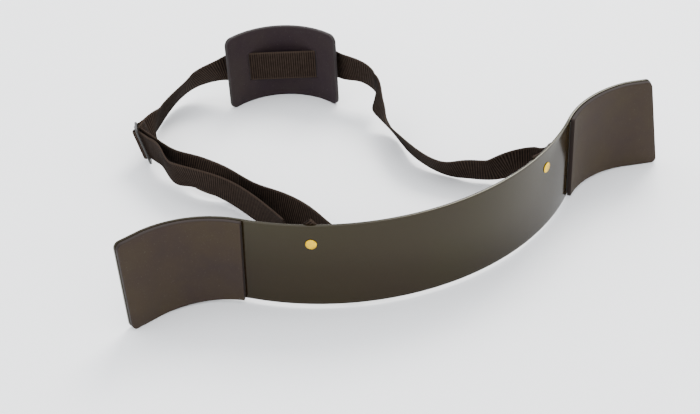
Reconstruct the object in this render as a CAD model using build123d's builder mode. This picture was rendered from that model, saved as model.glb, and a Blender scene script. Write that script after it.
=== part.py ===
"""Arm blaster: a curved plate that braces the upper arms during biceps curls, with its neck strap.

The plate stands on the lower corners of its two flared ends. +X runs along the plate, -Y is the
outer side with the elbow pads, +Y is the wearer's side with the strap, and +Z is up.
The origin is on the floor, at the centre of the whole object's footprint.
Depths are measured from the plate's crown towards the wearer.
"""
from build123d import *
from math import atan2, cos, degrees, radians, sin
import os

os.makedirs("parts", exist_ok=True)

# ---------------------------------------------------------------- driving dimensions, mm and degrees
CROWN_Y = -230.1          # the outer face at the middle of the plate

PLATE_T = 3.0             # aluminium sheet
PLATE_R = 276.0           # outer face of the middle arc
PLATE_ARC = 42.5          # middle arc, each side of the crown
PLATE_H = 100.0           # height of the middle arc
FLARE_R = 104.0           # outer face of the reversed bend
FLARE_ARC = 57.0
FLARE_LIP = 31.5          # straight end past the reversed bend
FLARE_GROW = 4.5          # the ends are this much taller, above and below
FOOT_LENGTH = 30.0        # level stretch of the lower edge at each end, seen from the front
PLATE_CORNER = 7.0
END_CUT = {-1: (4.5, 2.5), 1: (0.0, 13.5)}  # each end is cut back by this, at its foot and its top

PAD_T = 4.5               # elbow pad foam
PAD_INSET = 0.8           # foam stays this far inside the plate's edges
PAD_CORNER = 6.5
SEAM_CUT = {-1: 4.5, 1: 0.0}      # each layer's inner edge is cut back by this at its foot
GLUE_T = 0.5              # adhesive sheet under the foam
GLUE_INSET = 4.0

RIVET_ANGLE = {-1: 28.3, 1: 29.7}  # from the crown, left and right
RIVET_Z = 82.0
RIVET_HOLE_R = 2.6
RIVET_SHANK_R = 2.5
RIVET_HEAD_R = 5.8
RIVET_HEAD_T = 1.5
RIVET_HEAD_ROUND = 0.9
RIVET_TAIL_R = 4.6
RIVET_TAIL_T = 1.4
RIVET_TAIL_ROUND = 0.8
RIVET_COLLAR = 0.6        # how far the shank's end reaches into its tail
RIVET_FIT = 0.05          # round the shank's end
WASHER_R = 8.0
WASHER_T = 0.8
WASHER_GAP = 0.2          # between the webbing and the washer, which is flat on a curved face

WEB_W = 38.0              # webbing
WEB_T = 1.7
ANCHOR_TILT = {-1: 52.0, 1: 15.0}  # the riveted ends rise to the left by this angle
ANCHOR_END = {-1: 22.0, 1: 27.0}   # rivet to the cut end
ANCHOR_LEAD = 30.0        # rivet to where the webbing leaves the plate
ANCHOR_LIFT = 1.2         # how far it stands off the plate there

NECK_R = 82.0             # neck pad, middle of its thickness
NECK_ARC = 52.0           # each side of its middle
NECK_H = 96.0
NECK_T = 5.0
NECK_CORNER = 9.0
NECK_X = -3.0             # the pad's middle on the floor
NECK_DEPTH = 419.0
NECK_TURN = -24.5         # heading of its chord
SLOT_ARC = 31.0           # each side of its middle
SLOT_GAP = 0.7            # clearance round the webbing in a slot
SPAN_HALF = 54.0          # straight webbing each side of the pad's middle

SLIDER_X = -204.0         # middle of the slider
SLIDER_DEPTH = 359.0
SLIDER_Z = 27.8
SLIDER_RUN = Vector(0.26, 0.955, -0.10).normalized()
SLIDER_LONG = Vector(-0.17, 0.28, 0.94)
SLIDER_LENGTH = 49.0      # outside, across the webbing
SLIDER_WIDTH = 24.0       # outside, along the webbing
SLIDER_T = 2.4
SLIDER_CORNER = 4.0
SLIDER_ROUND = 0.5
SLOT_LENGTH = 40.0
SLOT_WIDTH = 7.5
SLOT_CORNER = 1.2
BAR_OFFSET = 10.5         # middle of an outer bar from the middle of the slider
WRAP_HALF = 4.0           # half the width of the webbing's arch over the middle bar
WRAP_RISE = 5.5
WRAP_BEND = 3.9           # bend over the middle bar, middle of the webbing
WRAP_FLARE = 1.6          # bend into each lead
WRAP_TAIL_LIFT = 1.2      # how far inside the slider's plane each lead's bend lies
WRAP_BACK_LIFT = 3.0
WRAP_LEAVES = 25.0        # the leads leave the slider's plane by this angle
TAIL_LEAD = 18.0
BACK_LEAD = 26.0
LOOP_TURN = 41.0          # the sewn loop's angle to the slider's plane
LOOP_SEWN = 11.0          # far bar to the end of the doubled stretch
LOOP_SIZE = 2.9           # half the opening of the loop round the bar
LOOP_FRONT = 3.4          # from the bar's middle to the loop's front
LOOP_SHOULDER = 3.0       # from the bar's middle to where the loop starts to close
LOOP_MEETS = 8.0          # from the bar's middle to where its layers meet
LOOP_BEND = 2.8
LOOP_CLOSING = 2.0        # bend where the loop starts to close
LOOP_SEAM_BEND = 2.5      # bend where its layers meet
SECTION_STEP = 10.0       # between the sections of a free stretch of webbing
LEAD = 7.0                # straight webbing where a free stretch starts from a fixed one
TURN_LENGTH = 120.0       # length of the stretch that turns behind the plate, each side
FACE_GAP = 0.1            # between faces that lie on each other
END_GAP = 0.3             # between two stretches that move apart
PUNCH = 24.0              # half the depth of a cut through the curved sheet

# Webbing routes. Each station is x, depth, z and lean: the middle of the webbing, and how far its
# width leans over from standing on edge.
LEFT_RUN = [(-78, 437, 46, -16), (-106, 449, 34, -33), (-171, 406, 22, -16), (-178, 393, 26, -12)]
RIGHT_RUN = [
    (50, 372, 49, 8), (69, 343, 50, 14), (76, 325, 43, 9), (67, 303, 39, -16), (64, 287, 33, 0),
    (65, 272, 24, 19), (63, 213, 24, 26), (91, 157, 18, 29), (104, 146, 21, 22), (127, 130, 23, 19),
]
RIGHT_TURN = [
    (142, 120, 31, 8), (173, 104, 35, -1), (179, 99, 38, 9), (184, 94, 41, 2), (182, 82, 51, -8),
    (176, 71, 64, -5),
]
TAIL_RUN = [
    (-197, 316, 35, 7), (-194, 288, 29, 11), (-187, 274, 31, 16), (-148, 226, 25, 7),
    (-134, 193, 22, 3), (-116, 140, 20, 16),
]
BACK_RUN = [
    (-183, 304, 31, 10), (-164, 274, 25, -24), (-137, 238, 21, -6), (-119, 206, 20, 3),
    (-102, 166, 20, -25), (-86, 127, 20, -9),
]
LEFT_TURN = [
    (-74, 95, 21, 7), (-66, 66, 24, -1), (-68, 46, 28, 0), (-75, 35, 33, 0), (-89, 27, 40, -4),
    (-98, 25, 44, -7),
]

SIDES = ((-1, "left"), (1, "right"))
PLATE_CENTRE = Vector(0, CROWN_Y + PLATE_R)
UP = Vector(0, 0, 1)


def export(part, label):
    """Label a finished piece and write its file."""
    part.label = label
    export_step(part, "parts/" + label + ".step")


# ---------------------------------------------------------------- plate and elbow pads
def plate_line(offset):
    """Crown, seam and heading at the seam of a plan line this far in front of the plate's face."""
    crown = Vector(0, CROWN_Y - offset)
    heading = Vector(1, 0).rotate(Axis.Z, PLATE_ARC)
    seam = PLATE_CENTRE + Vector(0, -PLATE_R - offset).rotate(Axis.Z, PLATE_ARC)
    return crown, seam, heading


def flare_line(offset):
    """Reversed bend and straight lip of the right flare, as one line in plan."""
    _, seam, heading = plate_line(offset)
    with BuildLine() as line:
        bend = JernArc(start=seam, tangent=heading, radius=FLARE_R - offset, arc_size=-FLARE_ARC)
        Line(bend @ 1, bend @ 1 + (bend % 1) * FLARE_LIP)
    return line.line


def plate_section():
    """Plan section of the whole plate."""
    with BuildSketch() as section:
        with BuildLine():
            for offset in (0, -PLATE_T):
                crown = plate_line(offset)[0]
                JernArc(start=crown, tangent=(1, 0), radius=PLATE_R + offset, arc_size=PLATE_ARC)
            tips = [flare_line(offset) for offset in (0, -PLATE_T)]
            for tip in tips:
                add(tip)
            Line(tips[0] @ 1, tips[1] @ 1)
            Line(plate_line(0)[0], plate_line(-PLATE_T)[0])
        make_face()
        mirror(about=Plane.YZ)
    return section.sketch


def flare_section(side, near, far):
    """Plan section of a layer on one flare, between two distances in front of the plate."""
    with BuildSketch() as section:
        with BuildLine():
            lines = [flare_line(offset) for offset in (near, far)]
            for line in lines:
                add(line)
            Line(lines[0] @ 0, lines[1] @ 0)
            Line(lines[0] @ 1, lines[1] @ 1)
        make_face()
        if side < 0:
            mirror(about=Plane.YZ, mode=Mode.REPLACE)
    return section.sketch


def half_outline(side, inset, corner):
    """Front outline of one half of the plate, drawn in by an inset, standing on the XZ plane."""
    foot_x = HALF_WIDTH - FOOT_LENGTH
    foot_cut, top_cut = END_CUT[side]
    with BuildSketch(Plane.XZ) as front:
        with BuildLine():
            Polyline(
                (0, FLARE_GROW + inset),
                (SEAM_X, FLARE_GROW + inset),
                (foot_x, inset),
                (HALF_WIDTH - inset - foot_cut, inset),
                (HALF_WIDTH - inset - top_cut, TOP - inset),
                (foot_x - top_cut, TOP - inset),
                (SEAM_X, TOP - FLARE_GROW - inset),
                (0, TOP - FLARE_GROW - inset),
                close=True,
            )
        make_face()
        fillet(front.vertices().sort_by(Axis.X)[-2:], radius=corner)
        if side < 0:
            mirror(about=Plane.YZ, mode=Mode.REPLACE)
    return front.sketch


def rivet_plane(side):
    """Plane on the outer face at a rivet: x along the plate to the right, y up, z outwards."""
    turn = side * RIVET_ANGLE[side]
    outwards = Vector(0, -1, 0).rotate(Axis.Z, turn)
    origin = PLATE_CENTRE + outwards * PLATE_R + UP * RIVET_Z
    return Plane(origin=origin, x_dir=Vector(1, 0, 0).rotate(Axis.Z, turn), z_dir=outwards)


TOP = PLATE_H + 2 * FLARE_GROW
SEAM_X = plate_line(0)[1].X
HALF_WIDTH = (flare_line(-PLATE_T) @ 1).X


with BuildPart() as arm_plate:
    add(plate_section())
    extrude(amount=TOP)
    with BuildSketch(Plane.XZ) as plate_outline:
        for side, _ in SIDES:
            add(half_outline(side, 0, PLATE_CORNER))
    extrude(plate_outline.sketch, amount=PLATE_R, dir=(0, 1, 0), both=True, mode=Mode.INTERSECT)
    for side, _ in SIDES:
        with BuildSketch(rivet_plane(side)):
            Circle(RIVET_HOLE_R)
        extrude(amount=PUNCH, both=True, mode=Mode.SUBTRACT)
export(arm_plate.part, "arm_plate")


def seam_wedge(side):
    """What is cut off a soft layer's inner edge, in the plane that touches the plate at the seam."""
    seam, heading = plate_line(0)[1:]
    origin = Vector(side * seam.X, seam.Y)
    along = Vector(side * heading.X, heading.Y)
    with BuildSketch(Plane(origin=origin, x_dir=along, z_dir=along.cross(UP))) as wedge:
        with BuildLine():
            Polyline((-1, 0), (SEAM_CUT[side], 0), (0, TOP), (-1, TOP), close=True)
        make_face()
    return wedge.sketch


def flare_layer(name, near, far, inset, corner):
    """A soft layer on both flares, each cut to the outline of its own end."""
    for side, hand in SIDES:
        with BuildPart() as layer:
            add(flare_section(side, near, far))
            extrude(amount=TOP)
            outline = half_outline(side, inset, corner)
            extrude(outline, amount=PLATE_R, dir=(0, 1, 0), both=True, mode=Mode.INTERSECT)
            if SEAM_CUT[side]:
                extrude(seam_wedge(side), amount=PUNCH, both=True, mode=Mode.SUBTRACT)
        export(layer.part, name + "_" + hand)


flare_layer("elbow_pad_adhesive", 0, GLUE_T, GLUE_INSET, PAD_CORNER)
flare_layer("elbow_pad", GLUE_T, GLUE_T + PAD_T, PAD_INSET, PAD_CORNER)

# ---------------------------------------------------------------- rivets, washers and riveted ends
BACK_FACE = -PLATE_T                        # distances along a rivet, outwards from the outer face
WASHER_FACE = BACK_FACE - WEB_T - WASHER_GAP
TAIL_FACE = WASHER_FACE - WASHER_T


def at_depth(side, distance):
    """Plane across the rivet's axis, this far out from the plate's outer face."""
    return rivet_plane(side).offset(distance)


for side, hand in SIDES:
    with BuildPart() as rivet_front:
        with BuildSketch(at_depth(side, 0)):
            Circle(RIVET_HEAD_R)
        extrude(amount=RIVET_HEAD_T)
        fillet(rivet_front.edges().sort_by(Axis((0, 0, 0), rivet_plane(side).z_dir))[-1], radius=RIVET_HEAD_ROUND)
        with BuildSketch(at_depth(side, 0)):
            Circle(RIVET_SHANK_R)
        extrude(amount=TAIL_FACE - RIVET_COLLAR)
    export(rivet_front.part, "rivet_front_" + hand)

    with BuildPart() as rivet_back:
        with BuildSketch(at_depth(side, TAIL_FACE - RIVET_COLLAR)):
            Circle(RIVET_TAIL_R)
        extrude(amount=-RIVET_TAIL_T)
        fillet(rivet_back.edges().sort_by(Axis((0, 0, 0), rivet_plane(side).z_dir))[0], radius=RIVET_TAIL_ROUND)
        with BuildSketch(at_depth(side, TAIL_FACE - RIVET_COLLAR)):
            Circle(RIVET_TAIL_R)
            Circle(RIVET_SHANK_R + RIVET_FIT, mode=Mode.SUBTRACT)
        extrude(amount=RIVET_COLLAR)
    export(rivet_back.part, "rivet_back_" + hand)

    with BuildPart() as washer:
        with BuildSketch(at_depth(side, TAIL_FACE)):
            Circle(WASHER_R)
            Circle(RIVET_HOLE_R, mode=Mode.SUBTRACT)
        extrude(amount=WASHER_T)
    export(washer.part, "rivet_washer_" + hand)


for side, hand in SIDES:
    inner = PLATE_R - PLATE_T - FACE_GAP
    end_length = ANCHOR_END[side]
    with BuildPart() as riveted_end:
        with BuildSketch():
            with Locations(PLATE_CENTRE):
                Circle(inner)
                Circle(inner - WEB_T, mode=Mode.SUBTRACT)
        extrude(amount=2 * TOP)
        with BuildSketch(rivet_plane(side)):
            with Locations(Rotation(0, 0, -ANCHOR_TILT[side])):
                with Locations(((ANCHOR_LEAD - end_length) / 2, 0)):
                    Rectangle(ANCHOR_LEAD + end_length, WEB_W)
        extrude(amount=PUNCH, both=True, mode=Mode.INTERSECT)
        with BuildSketch(rivet_plane(side)):
            Circle(RIVET_HOLE_R)
        extrude(amount=PUNCH, both=True, mode=Mode.SUBTRACT)
    export(riveted_end.part, "strap_anchor_" + hand)


# ---------------------------------------------------------------- webbing that runs free
def upright(run):
    """Direction of the webbing's width where it stands on edge."""
    return (UP - run * run.Z).normalized()


def lean_of(plane):
    """How far a section plane's width leans over from standing on edge."""
    rise = upright(plane.z_dir)
    return degrees(atan2(rise.cross(plane.x_dir).dot(plane.z_dir), rise.dot(plane.x_dir)))


def route_planes(points, first=None, last=None):
    """Section planes along a smooth webbing route: x across its width, z along its run."""
    stations = [(Vector(x, CROWN_Y + depth, z), lean) for x, depth, z, lean in points]
    if first:
        stations.insert(0, (first.origin + first.z_dir * LEAD, lean_of(first)))
        stations.insert(0, (first.origin, lean_of(first)))
    if last:
        stations.append((last.origin - last.z_dir * LEAD, lean_of(last)))
        stations.append((last.origin, lean_of(last)))
    middles = [middle for middle, _ in stations]
    with BuildLine():
        path = Spline(*middles)
    spots = [path.param_at_point(middle) for middle in middles]
    planes = []
    count = max(2, round(path.length / SECTION_STEP))
    for share in (i / count for i in range(count + 1)):
        i = max(k for k, spot in enumerate(spots[:-1]) if spot <= share + 1e-6)
        blend = (share - spots[i]) / (spots[i + 1] - spots[i])
        lean = stations[i][1] * (1 - blend) + stations[i + 1][1] * blend
        run = path % share
        width = upright(run).rotate(Axis((0, 0, 0), run), lean)
        planes.append(Plane(origin=path @ share, x_dir=width, z_dir=run))
    if first:
        planes[0] = first
    if last:
        planes[-1] = last
    return planes


def webbing(name, planes):
    """Loft one stretch of webbing through its section planes."""
    with BuildPart() as stretch:
        for plane in planes:
            with BuildSketch(plane):
                Rectangle(WEB_W, WEB_T)
        loft(ruled=True)
    length = sum((b.origin - a.origin).length for a, b in zip(planes, planes[1:]))
    print(name, "length", round(length), "volume ratio", round(stretch.part.volume / (length * WEB_W * WEB_T), 3))
    export(stretch.part, name)


def split_route(planes):
    """The planes of a route's free run, and those of its last stretch behind the plate."""
    split = len(planes) - 1 - round(TURN_LENGTH / SECTION_STEP)
    gap_plane = Plane(
        origin=planes[split].origin + planes[split].z_dir * END_GAP,
        x_dir=planes[split].x_dir,
        z_dir=planes[split].z_dir,
    )
    return planes[:split + 1], [gap_plane] + planes[split + 1:]


# ---------------------------------------------------------------- neck pad
NECK_MIDDLE = Vector(NECK_X, CROWN_Y + NECK_DEPTH, 0)
CHORD = Vector(1, 0, 0).rotate(Axis.Z, NECK_TURN)
AWAY = Vector(0, 1, 0).rotate(Axis.Z, NECK_TURN)
NECK_CENTRE = NECK_MIDDLE - AWAY * NECK_R
SPAN_MIDDLE = NECK_CENTRE + AWAY * (NECK_R * cos(radians(SLOT_ARC))) + Vector(0, 0, NECK_H / 2)
SPAN_PLANE = Plane(origin=SPAN_MIDDLE, x_dir=CHORD, z_dir=AWAY)

with BuildPart() as neck_pad:
    with BuildSketch():
        with Locations(NECK_CENTRE):
            Circle(NECK_R + NECK_T / 2)
            Circle(NECK_R - NECK_T / 2, mode=Mode.SUBTRACT)
    extrude(amount=NECK_H)
    with BuildSketch(Plane(origin=NECK_MIDDLE, x_dir=CHORD, z_dir=-AWAY)):
        with Locations((0, NECK_H / 2)):
            RectangleRounded(2 * NECK_R * sin(radians(NECK_ARC)), NECK_H, NECK_CORNER)
    extrude(amount=NECK_R, both=True, mode=Mode.INTERSECT)
    with BuildSketch(SPAN_PLANE):
        Rectangle(2 * SPAN_HALF, WEB_W + 2 * SLOT_GAP)
    extrude(amount=WEB_T / 2 + SLOT_GAP, both=True, mode=Mode.SUBTRACT)
export(neck_pad.part, "neck_pad")

with BuildPart() as neck_strap_span:
    with BuildSketch(SPAN_PLANE):
        Rectangle(2 * SPAN_HALF, WEB_W)
    extrude(amount=WEB_T / 2, both=True)
export(neck_strap_span.part, "neck_strap_span")

# ---------------------------------------------------------------- slider
SLIDER_MIDDLE = Vector(SLIDER_X, CROWN_Y + SLIDER_DEPTH, SLIDER_Z)
SLIDER_IN = SLIDER_RUN.cross(SLIDER_LONG).normalized()
SLIDER_UP = SLIDER_IN.cross(SLIDER_RUN)
SLIDER_PLANE = Plane(origin=SLIDER_MIDDLE, x_dir=SLIDER_RUN, z_dir=SLIDER_IN)
SIDE_PLANE = Plane(origin=SLIDER_MIDDLE, x_dir=SLIDER_RUN, z_dir=-SLIDER_UP)

with BuildPart() as slider_frame:
    with BuildSketch(SLIDER_PLANE):
        RectangleRounded(SLIDER_WIDTH, SLIDER_LENGTH, SLIDER_CORNER)
        with GridLocations(BAR_OFFSET, 0, 2, 1):
            RectangleRounded(SLOT_WIDTH, SLOT_LENGTH, SLOT_CORNER, mode=Mode.SUBTRACT)
    extrude(amount=SLIDER_T / 2, both=True)
    fillet(slider_frame.faces().filter_by(SLIDER_PLANE).edges(), radius=SLIDER_ROUND)
export(slider_frame.part, "slider_frame")


def polar(start, length, angle):
    """Point at a length and angle from another, in the slider's side view."""
    return start + Vector(length, 0).rotate(Axis.Z, angle)


TAIL_CORNER = Vector(-WRAP_HALF, WRAP_TAIL_LIFT)
BACK_CORNER = Vector(WRAP_HALF, WRAP_BACK_LIFT)
TAIL_END = polar(TAIL_CORNER, TAIL_LEAD, 180 - WRAP_LEAVES)
BACK_END = polar(BACK_CORNER, BACK_LEAD, 180 - WRAP_LEAVES)

with BuildPart() as adjuster_strap_wrap:
    with BuildSketch(SIDE_PLANE):
        with BuildLine():
            FilletPolyline(
                BACK_END,
                BACK_CORNER,
                (WRAP_HALF, -WRAP_RISE),
                (-WRAP_HALF, -WRAP_RISE),
                TAIL_CORNER,
                TAIL_END,
                radius=[WRAP_FLARE, WRAP_BEND, WRAP_BEND, WRAP_FLARE],
            )
        trace(line_width=WEB_T)
    extrude(amount=WEB_W / 2, both=True)
export(adjuster_strap_wrap.part, "adjuster_strap_wrap")

LOOP_PLANE = Plane(
    origin=SLIDER_MIDDLE + SLIDER_RUN * BAR_OFFSET,
    x_dir=SLIDER_RUN.rotate(Axis((0, 0, 0), SLIDER_UP), -LOOP_TURN),
    z_dir=-SLIDER_UP,
)
SEAM_GAP = WEB_T / 2 + FACE_GAP

with BuildPart() as neck_strap_end_loop:
    with BuildSketch(LOOP_PLANE):
        with BuildLine():
            FilletPolyline(
                (LOOP_SEWN, SEAM_GAP),
                (LOOP_MEETS, SEAM_GAP),
                (LOOP_SHOULDER, LOOP_SIZE),
                (-LOOP_FRONT, LOOP_SIZE),
                (-LOOP_FRONT, -LOOP_SIZE),
                (LOOP_SHOULDER, -LOOP_SIZE),
                (LOOP_MEETS, -SEAM_GAP),
                (LOOP_SEWN, -SEAM_GAP),
                radius=[LOOP_SEAM_BEND, LOOP_CLOSING, LOOP_BEND, LOOP_BEND, LOOP_CLOSING, LOOP_SEAM_BEND],
            )
        trace(line_width=WEB_T)
    extrude(amount=WEB_W / 2, both=True)
export(neck_strap_end_loop.part, "neck_strap_end_loop")

# ---------------------------------------------------------------- webbing between the fixed ends
def side_plane_point(plane, point, run_angle):
    """Section plane of the webbing at a point of a side view, with its run at an angle there."""
    run = plane.x_dir.rotate(Axis((0, 0, 0), plane.z_dir), run_angle)
    origin = plane.from_local_coords(Vector(point.X, point.Y, 0)) + run * END_GAP
    return Plane(origin=origin, x_dir=SLIDER_UP, z_dir=run)


def anchor_plane(side):
    """Section plane where a riveted end leaves the plate."""
    tilt = radians(ANCHOR_TILT[side])
    inner = PLATE_R - PLATE_T
    arc = RIVET_ANGLE[side] * side + degrees(ANCHOR_LEAD * cos(tilt) / inner)
    outwards = Vector(0, -1, 0).rotate(Axis.Z, arc)
    tangent = Vector(1, 0, 0).rotate(Axis.Z, arc)
    height = RIVET_Z - ANCHOR_LEAD * sin(tilt)
    origin = PLATE_CENTRE + outwards * (inner - WEB_T / 2 - ANCHOR_LIFT) + UP * height
    run = UP * sin(tilt) - tangent * cos(tilt)
    width = UP * cos(tilt) + tangent * sin(tilt)
    return Plane(origin=origin - run * END_GAP, x_dir=width, z_dir=run)


span_end = SPAN_HALF + FACE_GAP
span_left = Plane(origin=SPAN_MIDDLE - CHORD * span_end, x_dir=UP, z_dir=-CHORD)
span_right = Plane(origin=SPAN_MIDDLE + CHORD * span_end, x_dir=UP, z_dir=CHORD)
loop_end = side_plane_point(LOOP_PLANE, Vector(LOOP_SEWN, 0), 0)
loop_joint = Plane(origin=loop_end.origin, x_dir=SLIDER_UP, z_dir=-loop_end.z_dir)
tail_start = side_plane_point(SIDE_PLANE, TAIL_END, 180 - WRAP_LEAVES)
back_start = side_plane_point(SIDE_PLANE, BACK_END, 180 - WRAP_LEAVES)

webbing("neck_strap_left_run", route_planes(LEFT_RUN, span_left, loop_joint))
webbing("adjuster_strap_tail", route_planes(TAIL_RUN, tail_start))

right_run, right_turn = split_route(route_planes(RIGHT_RUN + RIGHT_TURN, span_right, anchor_plane(1)))
webbing("neck_strap_right_run", right_run)
webbing("neck_strap_turn", right_turn)

back_run, left_turn = split_route(route_planes(BACK_RUN + LEFT_TURN, back_start, anchor_plane(-1)))
webbing("adjuster_strap_run", back_run)
webbing("adjuster_strap_turn", left_turn)
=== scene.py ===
"""Looks of the arm blaster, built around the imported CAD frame.

The frame is in metres: +X along the plate, -Y outwards, +Z up. Shapes are worked out in
millimetres, and new_mesh() and metres() scale them."""
import math

import bmesh
import bpy
import numpy as np
from mathutils import Matrix, Vector


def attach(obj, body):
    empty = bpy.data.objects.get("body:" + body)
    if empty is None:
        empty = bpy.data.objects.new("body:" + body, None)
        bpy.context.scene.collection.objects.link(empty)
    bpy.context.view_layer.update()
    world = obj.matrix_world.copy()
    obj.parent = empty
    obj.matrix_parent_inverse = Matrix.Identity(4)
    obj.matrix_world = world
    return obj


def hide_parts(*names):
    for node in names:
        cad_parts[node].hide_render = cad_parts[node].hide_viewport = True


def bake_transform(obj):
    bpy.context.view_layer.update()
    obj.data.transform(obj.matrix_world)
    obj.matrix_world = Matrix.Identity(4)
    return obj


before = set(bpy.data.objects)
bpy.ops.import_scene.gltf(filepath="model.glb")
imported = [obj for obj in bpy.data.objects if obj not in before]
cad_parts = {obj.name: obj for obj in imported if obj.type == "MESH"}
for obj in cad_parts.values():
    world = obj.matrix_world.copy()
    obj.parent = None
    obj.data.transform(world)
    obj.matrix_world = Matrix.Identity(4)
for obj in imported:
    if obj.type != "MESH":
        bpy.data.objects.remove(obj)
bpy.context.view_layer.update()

MM = 0.001
UP = Vector((0, 0, 1))
HANDS = {-1: "left", 1: "right"}

# ------------------------------------------------------------------ sizes, in millimetres
# Arcs and tilts are in radians. Leans, and turns for rotated() and polar(), are in degrees.
CROWN_Y = -230.1          # where the plate's crown lies in the frame
PLATE_T = 3.0
PLATE_R = 276.0
PLATE_ARC = math.radians(42.5)
PLATE_H = 100.0
PLATE_CORNER = 7.0
PLATE_EDGE = 0.55
FLARE_R = 104.0
FLARE_ARC = math.radians(57.0)
FLARE_LIP = 31.5          # straight stretch at the end of each flare
FLARE_GROW = 4.5          # how far an end reaches past the middle, below and above
FOOT_LENGTH = 30.0        # stretch of each end that has its full height
END_CUT = {-1: (4.5, 2.5), 1: (0.0, 13.5)}    # how far each end is cut back, at foot and top
CUT_LENGTH = 60.0         # stretch of sheet that a cut is spread over

GLUE_T = 0.5
PAD_T = 4.5
PAD_INSET = 0.4           # rim of plate that shows round a pad
PAD_CORNER = 6.5
PAD_EDGE = 0.5
SEAM_CUT = {-1: 4.5, 1: 0.0}      # how far each pad's inner edge is cut back at its foot

RIVET_ANGLE = {-1: math.radians(28.3), 1: math.radians(29.7)}
RIVET_Z = 82.0
RIVET_HEAD_R = 5.8
RIVET_HEAD_T = 1.5
HEAD_PROFILE = [          # distance in from the head's rim, and height above the plate
    (3.3, -0.5), (0.5, 0.0), (0.0, 0.25), (0.0, 0.55), (0.35, 0.95), (1.1, 1.25), (2.2, 1.42),
    (4.0, RIVET_HEAD_T), (5.4, RIVET_HEAD_T),
]

WEB_W = 38.0
WEB_T = 1.7
WEB_EDGE = 0.5            # how far the flat faces stop short of the webbing's edges
RIB = 2.7                 # one rib of the weave, along the webbing
RIB_HEIGHT = 0.32
YARN = 1.3                # one yarn of the weave, across the webbing
SELVEDGE = 2.2
SELVEDGE_THIN = 0.35      # how much lower each face lies at the very edge
SELVEDGE_PLAIN = 0.6      # share of the ribs' height that is lost there
FACE_GAP = 0.1            # clearance between faces that lie on each other
SEAM_GAP = WEB_T / 2 + FACE_GAP
LEAD = 7.0                # straight webbing at the start and end of a free stretch

NECK_R = 82.0
NECK_ARC = math.radians(52.0)
NECK_H = 96.0
NECK_T = 5.0
NECK_CORNER = 9.0
NECK_EDGE = 1.5
NECK_X = -3.0
NECK_DEPTH = 419.0        # behind the plate's crown
NECK_TURN = math.radians(-24.5)
SLOT_ARC = math.radians(31.0)
SLOT_GAP = 0.7
SPAN_HALF = 54.0          # half the straight webbing across the pad's front

SLIDER = (-204.0, 359.0, 27.8)    # x, depth behind the plate's crown, z
SLIDER_RUN = Vector((0.26, 0.955, -0.10)).normalized()
SLIDER_LONG = Vector((-0.17, 0.28, 0.94))
BAR_OFFSET = 10.5         # from the middle bar to an outer one
WRAP_HALF = 4.0           # half the arch over the middle bar
WRAP_RISE = 5.5
WRAP_LEAVES = 25.0        # slope of both leads out of the arch
WRAP_RADII = [1.6, 3.9, 3.9, 1.6]
TAIL_DROP = 1.2           # how far past the bars, away from the arch, each lead starts
BACK_DROP = 3.0
TAIL_LEAD = 18.0
BACK_LEAD = 26.0
LOOP_TURN = 41.0          # the sewn loop's turn away from the slider's line
LOOP_SEWN = 11.0          # its stations, measured along it from the middle of the bar
LOOP_MEETS = 8.0
LOOP_SHOULDER = 3.0
LOOP_FRONT = 3.4
LOOP_SIZE = 2.9           # half its thickness round the bar
LOOP_RADII = [2.5, 2.0, 2.8, 2.8, 2.0, 2.5]

STITCH_PROFILE = ((-1.0, 0.25), (-0.7, 0.85), (0.0, 1.0), (0.7, 0.85), (1.0, 0.25))
STITCH_LENGTH = 2.1
STITCH_SPACING = 2.7
STITCH_ROWS = (2.2, 0.7)  # from the loop's sewn end
STITCHES_EACH_WAY = 6     # from the middle of the webbing
THREAD_R = 0.3

ANCHOR_TILT = {-1: math.radians(52.0), 1: math.radians(15.0)}
ANCHOR_END = {-1: 22.0, 1: 27.0}  # from the rivet to the webbing's cut end
ANCHOR_LEAD = 30.0        # from the rivet to where the webbing leaves the plate

# Webbing routes: x, depth behind the plate's crown, z and lean of each station
LEFT_RUN = [
    (-78, 437, 46, -16), (-106, 449, 34, -33), (-171, 406, 22, -16), (-178, 393, 26, -12),
]
RIGHT_RUN = [
    (52, 373, 49, 3), (69, 343, 50, 14), (76, 325, 43, 9), (67, 303, 39, -16), (64, 287, 33, 0),
    (65, 272, 24, 19), (63, 213, 24, 26), (91, 157, 18, 29), (104, 146, 21, 22),
    (127, 130, 23, 19), (142, 120, 31, 8), (173, 104, 35, -1), (179, 99, 38, 9),
    (184, 94, 41, 2), (182, 82, 51, -8), (176, 71, 64, -5),
]
TAIL_RUN = [
    (-197, 316, 35, 7), (-194, 288, 29, 11), (-187, 274, 31, 16), (-148, 226, 25, 7),
    (-134, 193, 22, 3), (-116, 140, 20, 16),
]
BACK_RUN = [
    (-183, 304, 31, 10), (-164, 274, 25, -24), (-137, 238, 21, -6), (-119, 206, 20, 3),
    (-102, 166, 20, -25), (-86, 127, 20, -9), (-74, 95, 21, 7), (-66, 66, 24, -1),
    (-68, 46, 28, 0), (-75, 35, 33, 0), (-89, 27, 40, -4), (-98, 25, 44, -7),
]
BACK_SPLIT = 90           # sections from the slider to where the adjusting strap is divided

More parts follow.
